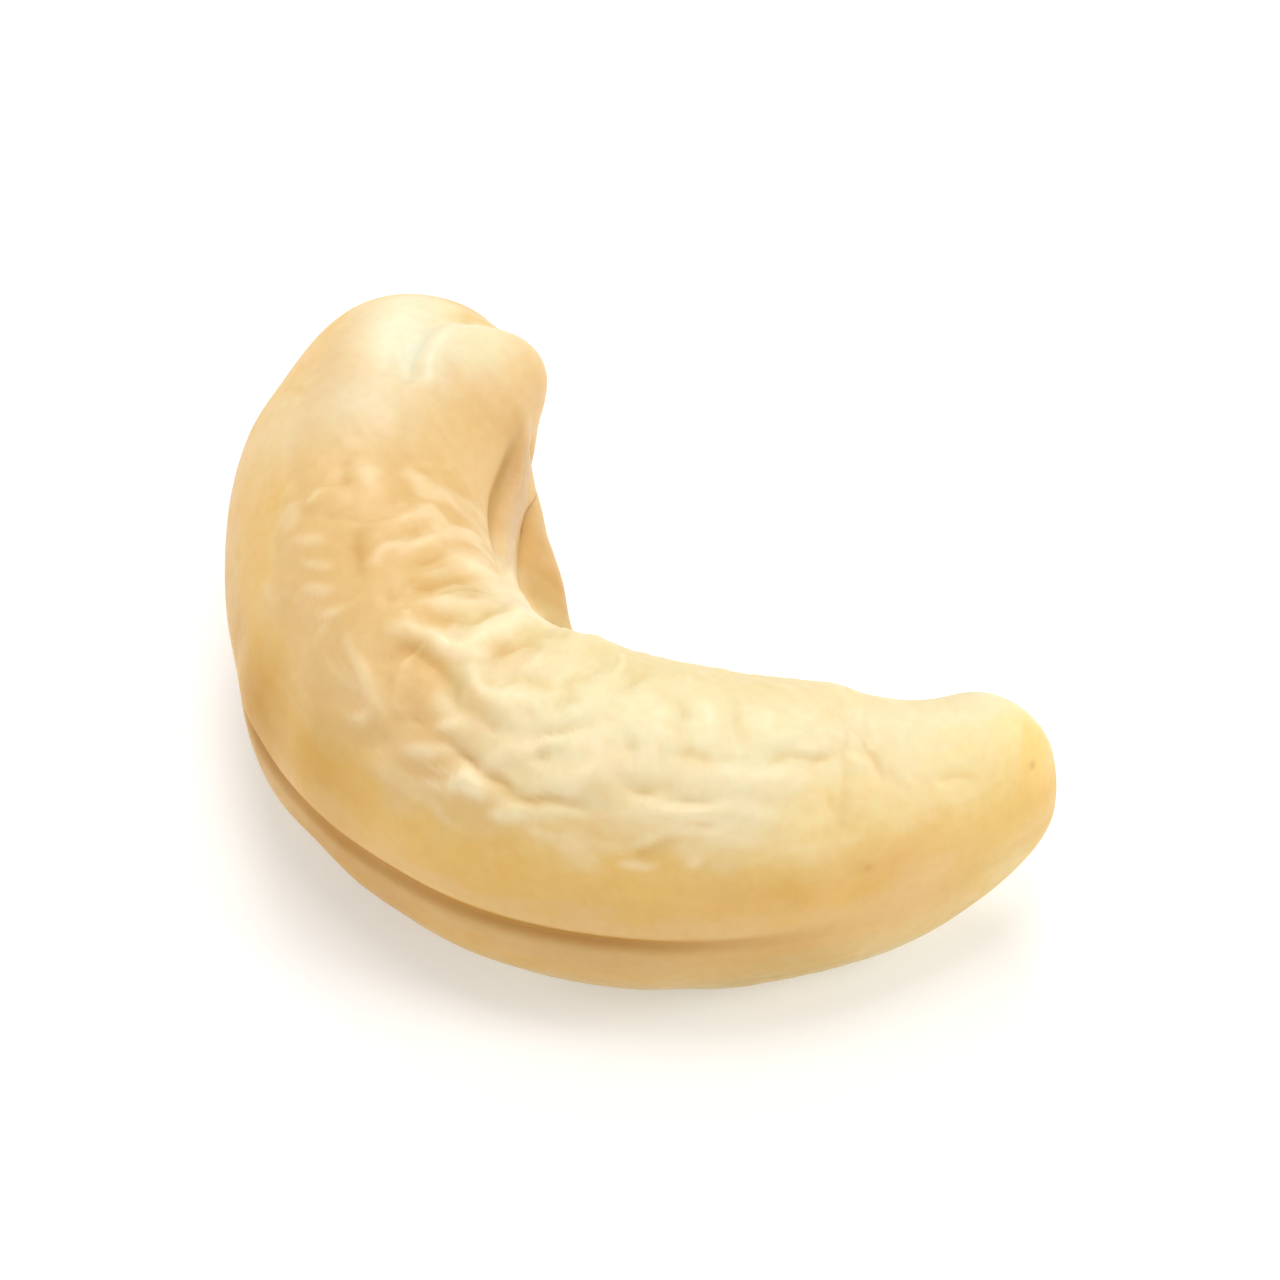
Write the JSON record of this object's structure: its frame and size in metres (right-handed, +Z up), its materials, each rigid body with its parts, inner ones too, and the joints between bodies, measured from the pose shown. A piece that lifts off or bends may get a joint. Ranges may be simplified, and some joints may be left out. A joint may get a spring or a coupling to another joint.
{
  "type": "roasted cashew nut",
  "caption": "Whole roasted cashew kernel without its skin: a plump bent seed with a seam groove all round, a blunt nubbed tip and a slimmer tip, lying on its side.",
  "frame": {"origin": "centre of the bounding box at its bottom, on the surface that the kernel lies on", "axes": "+X from the blunt tip to the slim tip along the longest extent, +Y towards the open side of the bend, +Z up across the level seam"},
  "size_m": [0.0294, 0.0184, 0.0102],
  "materials": {
    "kernel": "satin, pale cream on the wrinkled faces and golden on the smooth outer belt"
  },
  "bodies": {
    "root": {"cashew_kernel": "kernel"}
  },
  "joints": []
}
